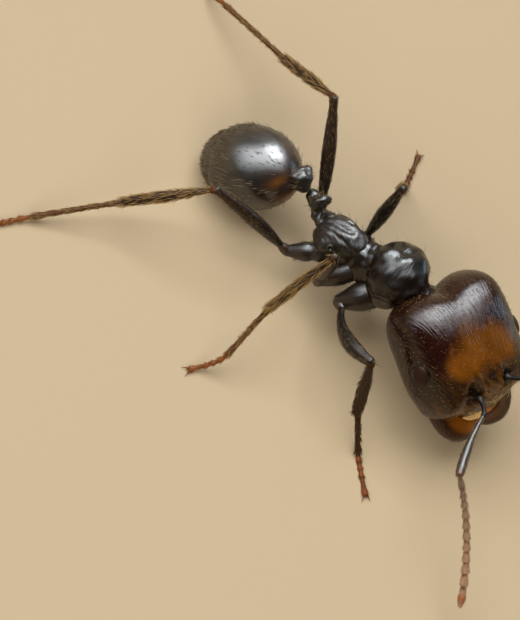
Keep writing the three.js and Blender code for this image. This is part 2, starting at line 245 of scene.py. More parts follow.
# ---- materials
class Looks:
    """A material in the making."""

    def __init__(self, name):
        self.material = bpy.data.materials.new(name)
        self.material.use_nodes = True
        self.tree = self.material.node_tree
        self.shader = self.tree.nodes["Principled BSDF"]

    def set(self, node, inputs):
        """Gives a node's inputs their values, or the outputs that feed them."""
        for name, value in inputs.items():
            if isinstance(value, bpy.types.NodeSocket):
                self.tree.links.new(value, node.inputs[name])
            else:
                node.inputs[name].default_value = value

    def add(self, kind, inputs, output=0, **settings):
        """Adds a node, and gives the output that is wanted of it."""
        node = self.tree.nodes.new(f"ShaderNode{kind}")
        for key, value in settings.items():
            setattr(node, key, value)
        self.set(node, inputs)
        return node.outputs[output]

    def place(self):
        return self.add("TexCoord", {}, "Object")

    def noise(self, place, scale, detail=3.0, roughness=0.55):
        inputs = {"Vector": place, "Scale": scale, "Detail": detail, "Roughness": roughness}
        return self.add("TexNoise", inputs)

    def spread(self, value, low, high):
        """Maps 0..1 to low..high."""
        return self.add("MapRange", {"Value": value, "To Min": low, "To Max": high})

    def bump(self, height, distance, strength, below=None):
        inputs = {"Height": height, "Distance": distance * MM, "Strength": strength}
        if below is not None:
            inputs["Normal"] = below
        return self.add("Bump", inputs)

    def paint(self, mottle_scale, low, high):
        """The colour stored on the mesh, mottled a little."""
        stored = self.add("Attribute", {}, attribute_name="shade")
        mottle = self.spread(self.noise(self.place(), mottle_scale), low, high)
        tint = self.add("VectorMath", {0: stored, "Scale": mottle}, operation="SCALE")
        self.set(self.shader, {"Base Color": tint})


def cuticle(name, roughness, specular, striae=0.0, net=0.0, pits=0.0):
    """Polished shell. `striae` raises fine lines along the mesh's grain, `net` a fine mesh of
    facets and `pits` scattered punctures."""
    looks = Looks(name)
    looks.paint(2600, 0.75, 1.25)
    place = looks.place()
    blotch = looks.noise(place, 1800, 4.0)
    normal = looks.bump(looks.noise(place, 5200), 0.01, 0.25)
    if striae:
        grain = looks.add("Attribute", {}, "Vector", attribute_name="grain")
        normal = looks.bump(looks.noise(grain, 1.0, 2.0, 0.4), 0.03, striae, normal)
    if net:
        edge = looks.add("TexVoronoi", {"Vector": place, "Scale": 26000}, feature="DISTANCE_TO_EDGE")
        normal = looks.bump(edge, 0.006, net, normal)
    if pits:
        dots = looks.add("TexVoronoi", {"Vector": place, "Scale": 8500})
        pit = looks.add("MapRange", {"Value": dots, "From Max": 0.22}, interpolation_type="SMOOTHSTEP")
        normal = looks.bump(pit, 0.012, pits, normal)
    looks.set(looks.shader, {
        "Roughness": looks.spread(blotch, roughness * 0.8, roughness * 1.25),
        "Specular IOR Level": specular, "IOR": 1.56, "Normal": normal,
    })
    return looks.material


def matt(name, mottle_scale, roughness, specular, bumps=0.0):
    """Hair, or soft skin with small bumps."""
    looks = Looks(name)
    looks.paint(mottle_scale, 0.7, 1.2)
    looks.set(looks.shader, {"Roughness": roughness, "Specular IOR Level": specular})
    if bumps:
        grit = looks.noise(looks.place(), 12000)
        looks.set(looks.shader, {"Normal": looks.bump(grit, 0.01, bumps)})
    return looks.material


HEAD_SHELL = cuticle("head_cuticle", 0.21, 0.33, striae=0.56, pits=0.45)
JAW_SHELL = cuticle("jaw_cuticle", 0.3, 0.27, striae=0.35, pits=0.4)
TRUNK_SHELL = cuticle("trunk_cuticle", 0.27, 0.41, striae=0.4, net=0.2)
RUGOSE_SHELL = cuticle("rugose_cuticle", 0.38, 0.56, striae=0.35, net=0.25)
GASTER_SHELL = cuticle("gaster_cuticle", 0.3, 0.9, net=0.1, pits=0.15)
LIMB_SHELL = cuticle("limb_cuticle", 0.36, 0.27, striae=0.3, net=0.15)
SCAPE_SHELL = cuticle("scape_cuticle", 0.32, 0.58, striae=0.3, net=0.15)
COXA_SHELL = cuticle("coxa_cuticle", 0.34, 0.52, striae=0.3, net=0.2)
TOE_SHELL = cuticle("toe_cuticle", 0.45, 0.15, net=0.2)
EYE_SHELL = cuticle("eye_facets", 0.45, 0.16)
HAIR = matt("hair", 9000, 0.45, 0.15)
JOINT_SKIN = matt("joint_membrane", 5000, 0.6, 0.12, bumps=0.5)


# ---- shapes and pieces
class Shape:
    """Points in the shared frame, triangles, and named values held at each point."""

    def __init__(self, points, faces, **marks):
        self.points = np.asarray(points, float)
        self.faces = np.asarray(faces, int)
        self.marks = marks

    def face_out(self):
        """Turns the triangles so that they face out of the closed shape."""
        a, b, c = (self.points[self.faces[:, k]] - self.points.mean(axis=0) for k in range(3))
        if (np.cross(a, b) * c).sum() < 0:
            self.faces = self.faces[:, ::-1]
        return self

    def edges(self):
        """Two edges of each triangle, from its first corner."""
        a, b, c = (self.points[self.faces[:, k]] for k in range(3))
        return b - a, c - a

    def normals(self):
        across = np.cross(*self.edges())
        total = np.zeros_like(self.points)
        for k in range(3):
            np.add.at(total, self.faces[:, k], across)
        return unit(total)


def join(shapes):
    """One shape of several, keeping the values that all of them hold."""
    kept = set.intersection(*[set(shape.marks) for shape in shapes])
    offsets = np.cumsum([0] + [len(shape.points) for shape in shapes[:-1]])
    return Shape(
        np.concatenate([shape.points for shape in shapes]),
        np.concatenate([shape.faces + offset for shape, offset in zip(shapes, offsets)]),
        **{key: np.concatenate([shape.marks[key] for shape in shapes]) for key in kept},
    )


def in_bands(parts):
    """Gives each of a limb's parts its own band of the limb's unwrap."""
    for k, part in enumerate(parts):
        part.marks["unwrap"] = (part.marks["unwrap"] + vec(0, k)) / vec(1, len(parts))
    return join(parts)


def paint(shape, tint):
    """Colours a shape: one colour for all its points, or one for each."""
    shape.marks["shade"] = np.broadcast_to(tint, shape.points.shape).copy()
    return shape


def lie_along(shape, place, way):
    """Lays a shape's hairs along one direction of a place."""
    shape.marks["lie"] = np.tile(place.aim(way), (len(shape.points), 1))


def fill(layer, key, values):
    layer.data.foreach_set(key, values.astype(np.float32).ravel())


def add_object(name, data):
    item = bpy.data.objects.new(name, data)
    bpy.context.scene.collection.objects.link(item)
    return item


def add_mesh(name, corners, faces, material):
    mesh = bpy.data.meshes.new(name)
    mesh.from_pydata(corners, [], faces)
    mesh.materials.append(material)
    return add_object(name, mesh)


def make_piece(name, shape, material):
    """A piece called as a CAD node, with one more word, takes that node's place."""
    points, marks = shape.points.copy(), shape.marks
    points[:, 2] = np.maximum(points[:, 2], FLOOR_GAP)
    piece = add_mesh(name, (points * MM).tolist(), shape.faces.tolist(), material)
    mesh = piece.data
    mesh.shade_smooth()
    opaque = np.insert(marks["shade"], 3, 1, axis=1)
    fill(mesh.attributes.new("shade", "FLOAT_COLOR", "POINT"), "color", opaque)
    if "grain" in marks:
        fill(mesh.attributes.new("grain", "FLOAT_VECTOR", "POINT"), "vector", marks["grain"])
    if "patch" in marks:
        fill(mesh.uv_layers.new(name="OFBake"), "uv", marks["patch"][shape.faces.ravel()])
    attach(piece, "root")
    node = name.rpartition("_")[0]
    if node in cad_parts:
        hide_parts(node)


# ---- closed bodies cast from fields
# A field is negative inside a body and grows outwards by about 1 for each millimetre.
def ellipsoid(centre, radii):
    centre, radii = vec(*centre), vec(*radii)

    def field(points):
        scaled = (points - centre) / radii
        k0 = np.linalg.norm(scaled, axis=1)
        k1 = np.linalg.norm(scaled / radii, axis=1)
        return k0 * (k0 - 1) / np.maximum(k1, 1e-9)

    return field


def blend(softness, *ellipsoids):
    """A field of ellipsoids that run together, each given by its centre and radii."""
    fields = [ellipsoid(*each) for each in ellipsoids]

    def field(points):
        return -softness * np.log(sum(np.exp(-part(points) / softness) for part in fields))

    return field


def ball_net(detail):
    """Directions and triangles of an icosphere."""
    net = bmesh.new()
    bmesh.ops.create_icosphere(net, subdivisions=detail, radius=1)
    rays = np.array([vertex.co for vertex in net.verts], float)
    faces = np.array([[vertex.index for vertex in face.verts] for face in net.faces], int)
    net.free()
    return unit(rays), faces


def tube_faces(rings, sides):
    """Triangles from a first point, over rings of points, to a last point."""
    ring = np.arange(rings - 1)[:, None] * sides + 1
    here = np.arange(sides)
    after = (here + 1) % sides
    a, b, c, d = ring + here, ring + after, ring + sides + after, ring + sides + here
    last = (rings - 1) * sides + 1
    return np.concatenate([
        stacked(a, c, b).reshape(-1, 3),
        stacked(a, d, c).reshape(-1, 3),
        stacked(np.zeros(sides, int), 1 + here, 1 + after),
        stacked(np.full(sides, last + sides), last + after, last + here),
    ])


def ringed(first, rows, last):
    """Rings of values with one before them and one after them."""
    return np.concatenate([[first], np.reshape(rows, (-1, *np.shape(first))), [last]])


def pole_net(rings, sides):
    """Directions and triangles of a globe with its poles on the Y axis, front pole first."""
    tilt = np.linspace(0, math.pi, rings + 1)[1:-1, None]
    round_ = np.arange(sides) * 2 * math.pi / sides
    level = np.cos(tilt) * np.ones(sides)
    rows = stacked(np.sin(tilt) * np.sin(round_), -level, np.sin(tilt) * np.cos(round_))
    return ringed(vec(0, -1, 0), rows, vec(0, 1, 0)), tube_faces(rings - 1, sides)


def cast(field, heart, rays, reach=4.0):
    """The places along the rays from the heart where the field is zero."""
    near, far = np.zeros(len(rays)), np.full(len(rays), reach)
    for _ in range(22):
        middle = (near + far) / 2
        inside = field(heart + rays * middle[:, None]) < 0
        near, far = np.where(inside, middle, near), np.where(inside, far, middle)
    return heart + rays * near[:, None]


def body(field, heart, net, place, relief=None):
    """A closed body. `relief` says how far it stands out from the field, in its own frame."""
    rays, faces = net
    smooth = Shape(cast(field, vec(*heart), rays), faces).face_out()
    own = smooth.points
    if relief is not None:
        own = own + smooth.normals() * relief(own)[:, None]
    around = np.arctan2(rays[:, 0], rays[:, 2]) / (2 * math.pi) + 0.5
    along = np.arccos(np.clip(-rays[:, 1], -1, 1)) / math.pi
    return Shape(place.out(own), smooth.faces, own=own, smooth=smooth.points, unwrap=stacked(around, along))


# ---- limbs
def bezier(*controls):
    """A smooth curve through the first and last control, drawn towards the others."""
    controls = np.array(controls, float)
    degree = len(controls) - 1

    def curve(t):
        t = np.atleast_1d(t)[:, None]
        terms = [math.comb(degree, k) * (1 - t) ** (degree - k) * t**k for k in range(degree + 1)]
        return sum(term * control for term, control in zip(terms, controls))

    return curve


def stretch(curve, low, high):
    """The part of a curve from low to high of its way."""
    return lambda t: curve(low + (high - low) * np.asarray(t))


CAP = vec(0.35, 0.66, 0.88)  # sizes of the rings of a limb's round end, from its tip


def limb(curve, wide, rings, sides, up=ABOVE, deep=None, ends=(0.5, 0.5)):
    """A closed tube along a curve. `wide` and `deep` give its half sizes at 0..1 of the way,
    `up` is the direction that `deep` is measured in, and `ends` says how round each end is, as
    its length over its half thickness."""
    t = np.linspace(0, 1, rings)
    centres = curve(t)
    tangents = unit(np.gradient(centres, axis=0))
    across = unit(np.cross(tangents, up))
    top = np.cross(across, tangents)
    half_wide, half_deep = wide(t), (deep or wide)(t)
    # Each row is a ring of the tube, or a smaller copy of its first or last ring, moved outwards.
    row = np.concatenate([[0] * len(CAP), np.arange(rings), [rings - 1] * len(CAP)])
    size = np.concatenate([CAP, np.ones(rings), CAP[::-1]])
    bulge = np.sqrt(1 - CAP**2)
    reach = ends[0] * half_deep[0], ends[1] * half_deep[-1]
    moved = np.concatenate([-bulge * reach[0], np.zeros(rings), bulge[::-1] * reach[1]])
    round_ = np.arange(sides)[:, None] * 2 * math.pi / sides
    middles = centres[row] + tangents[row] * moved[:, None]
    aside = across[row] * (half_wide[row] * size)[:, None]
    height = top[row] * (half_deep[row] * size)[:, None]
    rows = middles[:, None] + aside[:, None] * np.cos(round_) + height[:, None] * np.sin(round_)
    points = ringed(centres[0] - tangents[0] * reach[0], rows, centres[-1] + tangents[-1] * reach[1])
    along = ringed(0, np.repeat(t[row], sides), 1)
    around = ringed(0.5, np.tile(round_[:, 0] / (2 * math.pi), len(row)), 0.5)
    lie = ringed(tangents[0], np.repeat(tangents[row], sides, axis=0), tangents[-1])
    length = np.linalg.norm(centres[-1] - centres[0])
    return Shape(
        points, tube_faces(len(row), sides), along=along, unwrap=stacked(around, along), lie=lie,
        grain=stacked(around * 26, along * length * 2.2, np.zeros(len(along))),
    ).face_out()


def even(value):
    return lambda t: np.full_like(np.asarray(t, float), value)


def taper(size, start):
    """A half size that falls from size * start to nearly nothing."""
    return lambda t: size * (start - t)


# ---- head
# In the head's own frame x is left, -y is forward towards the jaws and z is out of the face.
EYE_PLACE = vec(1.6, -0.05, 0.55)
EYE_RADII = vec(0.12, 0.3, 0.235)
EYE_TILT = 24
EYE_SLANT = 18
FACETS = 420
SQUARE_FRONT = 3.2     # how square each outline is: 2 is an ellipse, more is boxier
SQUARE_BACK = 4.2
SQUARE_FACE = 2.55
SQUARE_THROAT = 2.5
NOTCH_DEPTH = 0.09
NOTCH_WIDTH = 0.45
CHEEK_SWELL = 0.09
CHEEK = (1.25, 1.28)
CLYPEUS_SWELL = 0.12


def head_axes(points):
    """How far aside from the middle, forward and out of the face points are."""
    return np.abs(points[:, 0]), -points[:, 1], points[:, 2]


def head_field(points):
    aside, forward, out = head_axes(points)
    notch = NOTCH_DEPTH * hump(aside, 0, NOTCH_WIDTH)
    along = np.where(forward > 0, forward / HEAD_FRONT, -forward / (HEAD_BACK * (1 - notch)))
    square = np.where(forward > 0, SQUARE_FRONT, SQUARE_BACK)
    plan = ((aside / (HEAD_WIDTH / 2)) ** square + along**square) ** (1 / square)
    depth = np.abs(out) / np.where(out > 0, FACE_RISE, THROAT_DROP)
    profile = np.where(out > 0, SQUARE_FACE, SQUARE_THROAT)
    cheek = CHEEK_SWELL * hump(aside, CHEEK[0], 0.35) * hump(forward, CHEEK[1], 0.3)
    clypeus = CLYPEUS_SWELL * hump(aside, 0, 0.75) * hump(forward, 1.6, 0.3) * hump(out, 0.3, 0.5)
    return ((plan**profile + depth**profile) ** (1 / profile) - 1) * FACE_RISE - cheek - clypeus


def eye_distance(own):
    """How far a point of the head is from the nearer eye's middle."""
    from_eye = stacked(np.abs(own[:, 0]), own[:, 1], own[:, 2]) - EYE_PLACE
    return np.linalg.norm(from_eye / vec(1.15, 1, 1), axis=1)


def head_relief(own):
    aside, forward, out = head_axes(own)
    face, front = step(out, 0.0, 0.5), step(out, -0.1, 0.2)
    midline = hump(aside, 0, 0.03) * face
    relief = 0.006 * ripple(own, 1.1, 3)
    relief -= 0.012 * hump(aside, 0, 0.2) * step(-forward, 1.1, 1.6) * step(out, -0.6, 0.2)
    relief -= 0.004 * midline * step(-forward, 0.6, 1.2)
    relief -= 0.006 * midline * between(forward, 0.3, 0.5, 0.7, 0.9)
    fossa = hump(aside, 0.54, 0.2) * hump(forward, 0.98, 0.25)
    fossa = np.maximum(fossa, 0.7 * hump(aside, 0.68, 0.17) * hump(forward, 1.2, 0.16))
    lobe = hump(aside, 0.33 - 0.1 * (forward - 0.9), 0.075) * between(forward, 0.5, 0.85, 1.1, 1.3)
    relief += (0.12 * lobe - 0.17 * fossa) * face
    clypeus = (1 - step(aside, 0.72, 0.84)) * step(forward, 1.26, 1.32)
    tongue = (1 - step(aside, 0.14, 0.3)) * step(forward, 0.75, 1.1)
    suture = hump(aside, 0.84, 0.05) * step(forward, 1.2, 1.35)
    relief += (0.05 * np.maximum(clypeus, tongue) - 0.03 * suture) * front
    relief -= 0.02 * hump(eye_distance(own), 0.3, 0.035)
    return relief - 0.03 * hump(aside, 0, 0.04) * step(-out, 0.5, 0.8)


def head_shade(own):
    """Maroon-black behind and round the eyes, amber on the forehead as a painted reflection of warm
    surroundings, olive-brown cheeks, and painted shade on the sides and in the antennal pits.
    """
    x = own[:, 0]
    side, forward, out = head_axes(own)
    face = step(out, 0.35, 0.75)
    waver = 0.09 * ripple(own, 0.8, 5) + 0.04 * ripple(own, 0.25, 6)
    shade = mix(MAROON, CHESTNUT * 0.6, 0.2 + 0.2 * ripple(own, 0.6, 7))
    shade = mix(shade, UMBER, 0.6 * step(-forward, 1.5, 1.8) + 0.4 * step(-out, -0.1, 0.5))
    # The amber on the forehead is a painted reflection of warm surroundings over the maroon shell.
    edge = -0.62 + 0.85 * (side / 1.2) ** 2.2
    streaks = 0.07 * np.sin(x * 19 + 2.5 * ripple(own, 0.7, 9)) * np.sin(x * 7.3 + 1.1)
    clear = step(forward + waver + streaks - edge, -0.42, 0.42) * face
    shade = mix(shade, AMBER * (1 + 0.15 * ripple(own, 0.5, 8))[:, None], clear)
    front = step(forward + 1.3 * waver + 0.3 * step(side, 0.7, 1.2), 0.3, 0.84)
    mottle = 0.5 + 0.9 * ripple(own * vec(1.4, 1, 1), 0.3, 10)
    lower = mix(colour(38, 22, 9), colour(92, 56, 6), mottle * (1 - 0.85 * step(side, 0.55, 0.95)))
    shade = mix(shade, lower, front * face * 0.95)
    # The sides are painted darker, as shade.
    shade = shade * (1 - 0.35 * step(side, 0.95, 1.45) * step(-forward, -1.2, -0.6))[:, None]
    dusk = hump(x, 0.05, 0.26) * hump(forward, 0.76, 0.13)
    shade = mix(shade, colour(34, 22, 17), 0.9 * dusk * face)
    blaze = hump(side, 0.97, 0.17) * hump(forward, 1.44, 0.12)
    blaze += 0.5 * hump(side, 0.25, 0.3) * hump(forward, 1.3, 0.09)
    shade = mix(shade, AMBER, blaze * face)
    # The antennal pits are painted near-black, as shade in the hollows.
    fossa = hump(side, 0.56, 0.25) * hump(forward, 1.04, 0.27)
    shade = mix(shade, PITCH * 0.6, step(fossa, 0.2, 0.75) * face * 0.95)
    shade = mix(shade, PITCH, hump(eye_distance(own), 0.29, 0.05) * 0.8)
    rim = step(forward, 1.62, 1.76) * (1 - step(side, 0.8, 0.95))
    return mix(shade, PITCH, rim * 0.8)


def build_head():
    shape = body(head_field, (0, 0, 0), ball_net(7), HEAD, head_relief)
    own = shape.marks["own"]
    paint(shape, head_shade(own))
    # The grain runs forward over the vertex and fans out a little towards the sides.
    fan = np.arctan2(own[:, 0], 1.6 + 0.35 * own[:, 1]) * (1 + 0.15 * own[:, 2])
    shape.marks["grain"] = stacked(fan * 68, own[:, 1] * 2.6, own[:, 2] * 2.2)
    level = np.zeros(len(own))
    shape.marks["lie"] = HEAD.aim(stacked(-np.tanh(own[:, 0] * 4), level - 0.2, level))
    make_piece("head_capsule", shape, HEAD_SHELL)
    return shape


def eye_shape(sign):
    """A low oval dome of facets, which a spiral spaces evenly."""
    rays, faces = ball_net(6)
    spiral = np.arange(FACETS) + 0.5
    tilt = np.arccos(1 - spiral / FACETS)
    round_ = math.pi * (1 + 5**0.5) * spiral
    centres = stacked(sign * np.cos(tilt), np.sin(tilt) * np.cos(round_), np.sin(tilt) * np.sin(round_))
    nearness = np.max(rays @ centres.T, axis=1)
    spacing = math.sqrt(2 * math.pi / FACETS)
    facet = np.clip(np.arccos(np.clip(nearness, -1, 1)) / spacing, 0, 0.7)
    own = rays * EYE_RADII * (1 - 0.035 * facet[:, None] ** 2)
    place = HEAD.child(EYE_PLACE * vec(sign, 1, 1), turn("y", -EYE_TILT * sign) @ turn("x", EYE_SLANT))
    return paint(Shape(place.out(own), faces), mix(colour(52, 28, 14), colour(26, 12, 5), facet / 0.7))


def mandible_shape(sign):
    """A thick curved jaw: `s` runs from root to tip and `t` from the outer edge to the teeth."""
    root, reach = 1.2, 2.28
    outer = bezier((1.28, root), (1.36, 2.05), (1.0, 2.66), (0.35, 2.5), (0.03, reach))
    inner = bezier((0.62, root), (0.68, 1.7), (0.36, 1.96), (0.03, reach - 0.27))
    s = np.linspace(0, 1, 64)
    outer_edge, inner_edge = outer(s), inner(s)
    inner_edge[:, 1] -= 0.04 * between(s, 0.6, 0.7, 0.95, 1.0) * np.abs(np.sin(s * math.pi * 13)) ** 0.6
    thickness = 0.28 * (1 - 0.6 * s**1.5)
    steps = np.linspace(0, 1, 28)
    rows = []
    for face, t in [(1, t) for t in steps] + [(-1, t) for t in steps[-2:0:-1]]:
        flat = outer_edge * (1 - t) + inner_edge * t
        swell = math.sqrt(1 - abs(2 * t - 1) ** 4.5)
        height = face * thickness * swell - 0.32 + 0.26 * t**1.3 + 0.06 * s
        rows.append(stacked(sign * flat[:, 0], -flat[:, 1], height))
    rows = np.stack(rows, axis=1)
    rings, sides = rows.shape[:2]
    own = ringed(rows[0].mean(axis=0), rows, rows[-1].mean(axis=0))
    along = ringed(0, np.repeat(s, sides), 1)
    around = ringed(0, np.tile(np.arange(sides) / sides, rings), 0)
    shape = Shape(HEAD.out(own), tube_faces(rings, sides), along=along, grain=own * vec(9, 3, 9)).face_out()
    shape.marks["unwrap"] = stacked(along, around)
    lie_along(shape, HEAD, vec(0, -1, 0))
    inward = step(np.minimum(around, 1 - around) * 2, 0.2, 0.5)
    clear = inward * step(own[:, 2], -0.3, -0.1) * (1 - step(along, 0.86, 0.98))
    dusk = 0.5 + 0.5 * ripple(own, 0.5, 41)
    # The left jaw, on the far side, is painted darker, as shade.
    inner_tint = colour(140, 80, 2) if sign < 0 else colour(84, 48, 14)
    return paint(shape, mix(mix(SOOT, CHESTNUT, 0.4), inner_tint * (1 - 0.18 * dusk[:, None]), clear))


def build_mouth():
    """The pale flap over the mouth, and the lip and feelers under it."""
    slope = HEAD.child((-0.12, -1.64, 0.27), turn("x", 10))
    flap = body(ellipsoid((0, 0, 0), (0.6, 0.31, 0.11)), (0, 0, 0), ball_net(6), slope)
    flap.points += slope.aim(ABOVE) * (0.02 * ripple(flap.marks["own"], 0.35, 43))[:, None]
    side = flap.marks["own"][:, 0]
    paint(flap, mix(colour(255, 214, 150), colour(176, 112, 54), step(side, 0.02, 0.16)))
    # The chestnut on the flap's left part is painted shade; the flap's right end is chestnut too.
    paint(flap, mix(flap.marks["shade"], CHESTNUT, step(side, 0.28, 0.36) + step(-side, 0.56, 0.62)))
    lip = body(ellipsoid((0, -1.5, -0.52), (0.42, 0.5, 0.2)), (0, -1.5, -0.52), ball_net(5), HEAD)
    feelers = []
    for sign in SIDES.values():
        for start, reach, splay in ((0.34, 0.62, 0.3), (0.16, 0.4, 0.06)):
            root = head_place(sign * start, 1.72, -0.56)
            end = head_place(sign * (start + splay), 1.72 + reach, -0.72)
            bow = bezier(root, (root + end) / 2 - HEAD.aim(ABOVE) * 0.1, end)
            beaded = lambda t: 0.05 * (0.75 + 0.25 * np.cos(t * 8 * math.pi)) * (1 - 0.3 * t)
            feelers.append(limb(bow, beaded, 34, 12, up=HEAD.aim(ABOVE)))
    make_piece("labrum", flap, JOINT_SKIN)
    make_piece("labium", paint(lip, CHESTNUT), TOE_SHELL)
    make_piece("palps", paint(join(feelers), UMBER), TOE_SHELL)


# ---- antennae
BEAD_LENGTHS = vec(1.25, 0.8, 0.85, 0.9, 0.92, 0.95, 0.95, 0.95, 1.0, 1.05, 1.75)  # their ratios


def antenna_shapes(socket, bend, elbow, sag, tip):
    joint = bend * 0.9 + elbow * 0.1
    knob = lambda t: 0.06 + 0.05 * hump(t, 0.1, 0.12) + 0.012 * step(t, 0.6, 1)
    root = limb(bezier(socket, socket * 0.45 + bend * 0.55, bend, joint), knob, 26, 18)
    shaft = bezier(joint, bend * 0.45 + elbow * 0.55 + vec(-0.07, 0.1, -0.05), elbow)
    scape = limb(shaft, lambda t: 0.055 + 0.07 * step(t, 0.0, 0.75) - 0.02 * step(t, 0.9, 1.0), 40, 18)
    lash = bezier(elbow, sag, tip)
    edges = np.concatenate([[0], np.cumsum(BEAD_LENGTHS) / BEAD_LENGTHS.sum()])
    final = len(BEAD_LENGTHS) - 1
    beads = []
    for k, (low, high) in enumerate(zip(edges, edges[1:])):
        out, last = k / final, k == final

        def half(t):
            swell = 0.62 + 0.2 * t + 0.24 * step(t, 0.0, 0.9) - 0.22 * step(t, 0.93, 1.0)
            return (0.084 + 0.022 * out) * swell * (1 - 0.3 * last * step(t, 0.6, 1.0))

        bead = limb(stretch(lash, low, high), half, 12, 16, ends=(0.3, 0.9 if last else 0.3))
        along = bead.marks["along"]
        tint = mix(colour(92, 74, 64), colour(198, 154, 124), 0.1 + 1.1 * out)
        tint = mix(tint, UMBER, 0.8 * (1 - step(along, 0.08, 0.36)))
        # The orange inside the last bead is a painted glow of light through the tip.
        beads.append(paint(bead, mix(tint, colour(184, 80, 12), last * hump(along, 0.66, 0.2))))
    paint(scape, mix(SOOT, colour(78, 44, 24), step(scape.marks["along"], 0.88, 1.0)))
    # The root, down in its pit, is painted near-black, as shade.
    return paint(root, PITCH), scape, beads


# ---- trunk and waist
pronotum_field = blend(
    0.07,
    ((0, -0.43 * HALF, -0.04), (TRUNK_WIDTH / 2, 0.46 * HALF, 0.76)),
    ((0.48, -0.41 * HALF, -0.42), (0.42, 0.27 * HALF, 0.48)),
    ((-0.48, -0.41 * HALF, -0.42), (0.42, 0.27 * HALF, 0.48)),
    ((0, -0.33, 0.28), (0.42, 0.3, 0.34)),
    ((0, 0.04 * HALF, -0.14), (0.42, 0.36 * HALF, 0.33)),
    ((0, 0, -0.5), (0.6, 0.46 * HALF, 0.5)),
    ((0, -0.92 * HALF, -0.24), (0.32, 0.26 * HALF, 0.24)),
)
propodeum_field = blend(
    0.06,
    ((0, 0.56 * HALF, -0.06), (0.5, 0.42 * HALF, 0.44)),
    ((0, 0.6 * HALF, -0.42), (0.58, 0.42 * HALF, 0.4)),
    ((-0.4, 1.3, -0.2), (0.22, 0.24, 0.26)),
    ((0.4, 1.3, -0.2), (0.22, 0.24, 0.26)),
)
petiole_field = blend(
    0.05,
    ((0, 0.34, 0.02), (0.16, 0.52, 0.16)),
    ((0.06, 0.64, 0.3), (0.3, 0.2, 0.28)),
    ((0.06, 0.86, 0.08), (0.17, 0.22, 0.17)),
)
postpetiole_field = blend(
    0.04,
    ((0, 0, 0.02), (0.35, 0.3, 0.33)),
    ((0.05, -0.1, -0.16), (0.2, 0.22, 0.25)),
    ((0, 0.2, -0.06), (0.26, 0.3, 0.24)),
)
gaster_field = blend(
    0.1,
    ((0, -0.02, 0), (GASTER_WIDTH / 2, 0.46 * GASTER_LENGTH, GASTER_DEPTH / 2)),
    ((0, 0.22 * GASTER_LENGTH, -0.06), (0.34 * GASTER_WIDTH, 0.28 * GASTER_LENGTH, 0.34 * GASTER_DEPTH)),
)
GASTER_SEAMS = (0.34, 0.78, 1.06)


def pronotum_relief(own):
    x, y, z = own.T
    side = np.abs(x)
    relief = -0.03 * hump(y, 0.02 - 0.3 * side**2, 0.045) * step(z, -0.3, 0.0)
    relief -= 0.03 * hump(z, -0.3 - 0.25 * y, 0.04) * step(side, 0.4, 0.6) * (1 - step(y, -0.3, -0.1))
    relief -= 0.04 * hump(y, -0.1 - 0.5 * (z + 0.5), 0.04) * step(-z, 0.1, 0.4)
    relief -= 0.05 * hump(x, 0.3, 0.22) * hump(y, -0.55, 0.3) * step(z, 0.2, 0.5)
    relief += 0.03 * hump(x, -0.12, 0.25) * hump(y, -0.85, 0.25) * step(z, 0.2, 0.5)
    relief += 0.05 * hump(x, -0.05, 0.3) * hump(y, -0.25, 0.2) * step(z, 0.2, 0.5)
    rough = step(y, -0.15, 0.1) * step(z, -0.2, 0.1)
    relief += 0.03 * ripple(own, 0.36, 14) * rough
    return relief + 0.014 * ripple(own, 0.5, 11)


def propodeum_relief(own):
    x, y, z = own.T
    side = np.abs(x)
    rugae = np.sin((0.957 * side + 0.445 * y + 0.02 * ripple(own, 0.5, 21)) * 2 * math.pi / 0.1)
    relief = 0.0025 * rugae * step(z, -0.45, -0.1) + 0.01 * ripple(own, 0.34, 22)
    relief -= 0.07 * hump(x, 0, 0.1) * step(z, 0, 0.3) * step(y, 0.6, 0.9)
    relief -= 0.035 * hump(side, 0.3 - 0.12 * (y - 1.0), 0.05) * step(z, -0.1, 0.15)
    spiracle = np.hypot(y - 0.62 * HALF, z + 0.02)
    relief += (0.03 * hump(spiracle, 0.07, 0.025) - 0.04 * hump(spiracle, 0, 0.04)) * step(side, 0.3, 0.42)
    return relief + 0.012 * ripple(own, 0.4, 12)


def waist_relief(own):
    ridges = np.sin((own[:, 1] + 0.1 * ripple(own, 0.4, 33)) * 2 * math.pi / 0.21)
    ridges = 0.007 * ridges * step(own[:, 2], -0.1, 0.1)
    return ridges + 0.03 * ripple(own, 0.42, 13) + 0.012 * ripple(own, 0.27, 34)


def build_trunk():
    """The trunk's two plates and the waist's two knots, and the skin of the neck."""
    shapes = []
    plates = {
        "pronotum": (pronotum_field, (0, -0.4, -0.2), TRUNK, pronotum_relief, TRUNK_SHELL),
        "propodeum": (propodeum_field, (0, 1, -0.2), TRUNK, propodeum_relief, RUGOSE_SHELL),
        "petiole": (petiole_field, (0, 0.52, 0.12), PETIOLE, waist_relief, RUGOSE_SHELL),
        "postpetiole": (postpetiole_field, (0, 0, 0), POSTPETIOLE, waist_relief, RUGOSE_SHELL),
    }
    for name, (field, heart, place, relief, material) in plates.items():
        shape = body(field, heart, ball_net(6), place, relief)
        own = shape.marks["own"]
        # Each plate's lower part is painted browner, a painted reflection of warm ground below.
        low = step(-own[:, 2], 0.0, 0.4) * (0.8 + 0.2 * ripple(own, 0.4, 29))
        paint(shape, mix(PITCH, colour(40, 24, 9), low))
        shape.marks["grain"] = stacked(own[:, 1] * 12, own[:, 0] * 3, own[:, 2] * 5)
        lie_along(shape, place, vec(0, 1, 0))
        make_piece(f"{name}_shell", shape, material)
        shapes.append(shape)
    neck = bezier(TRUNK.out((0, -HALF, -0.14)), TRUNK.out((0, -1.25 * HALF, -0.16)), HEAD.out((0, 1.5, -0.3)))
    skin = paint(limb(neck, even(0.2), 16, 20, deep=even(0.18)), SOOT)
    make_piece("neck_skin", skin, JOINT_SKIN)
    return shapes


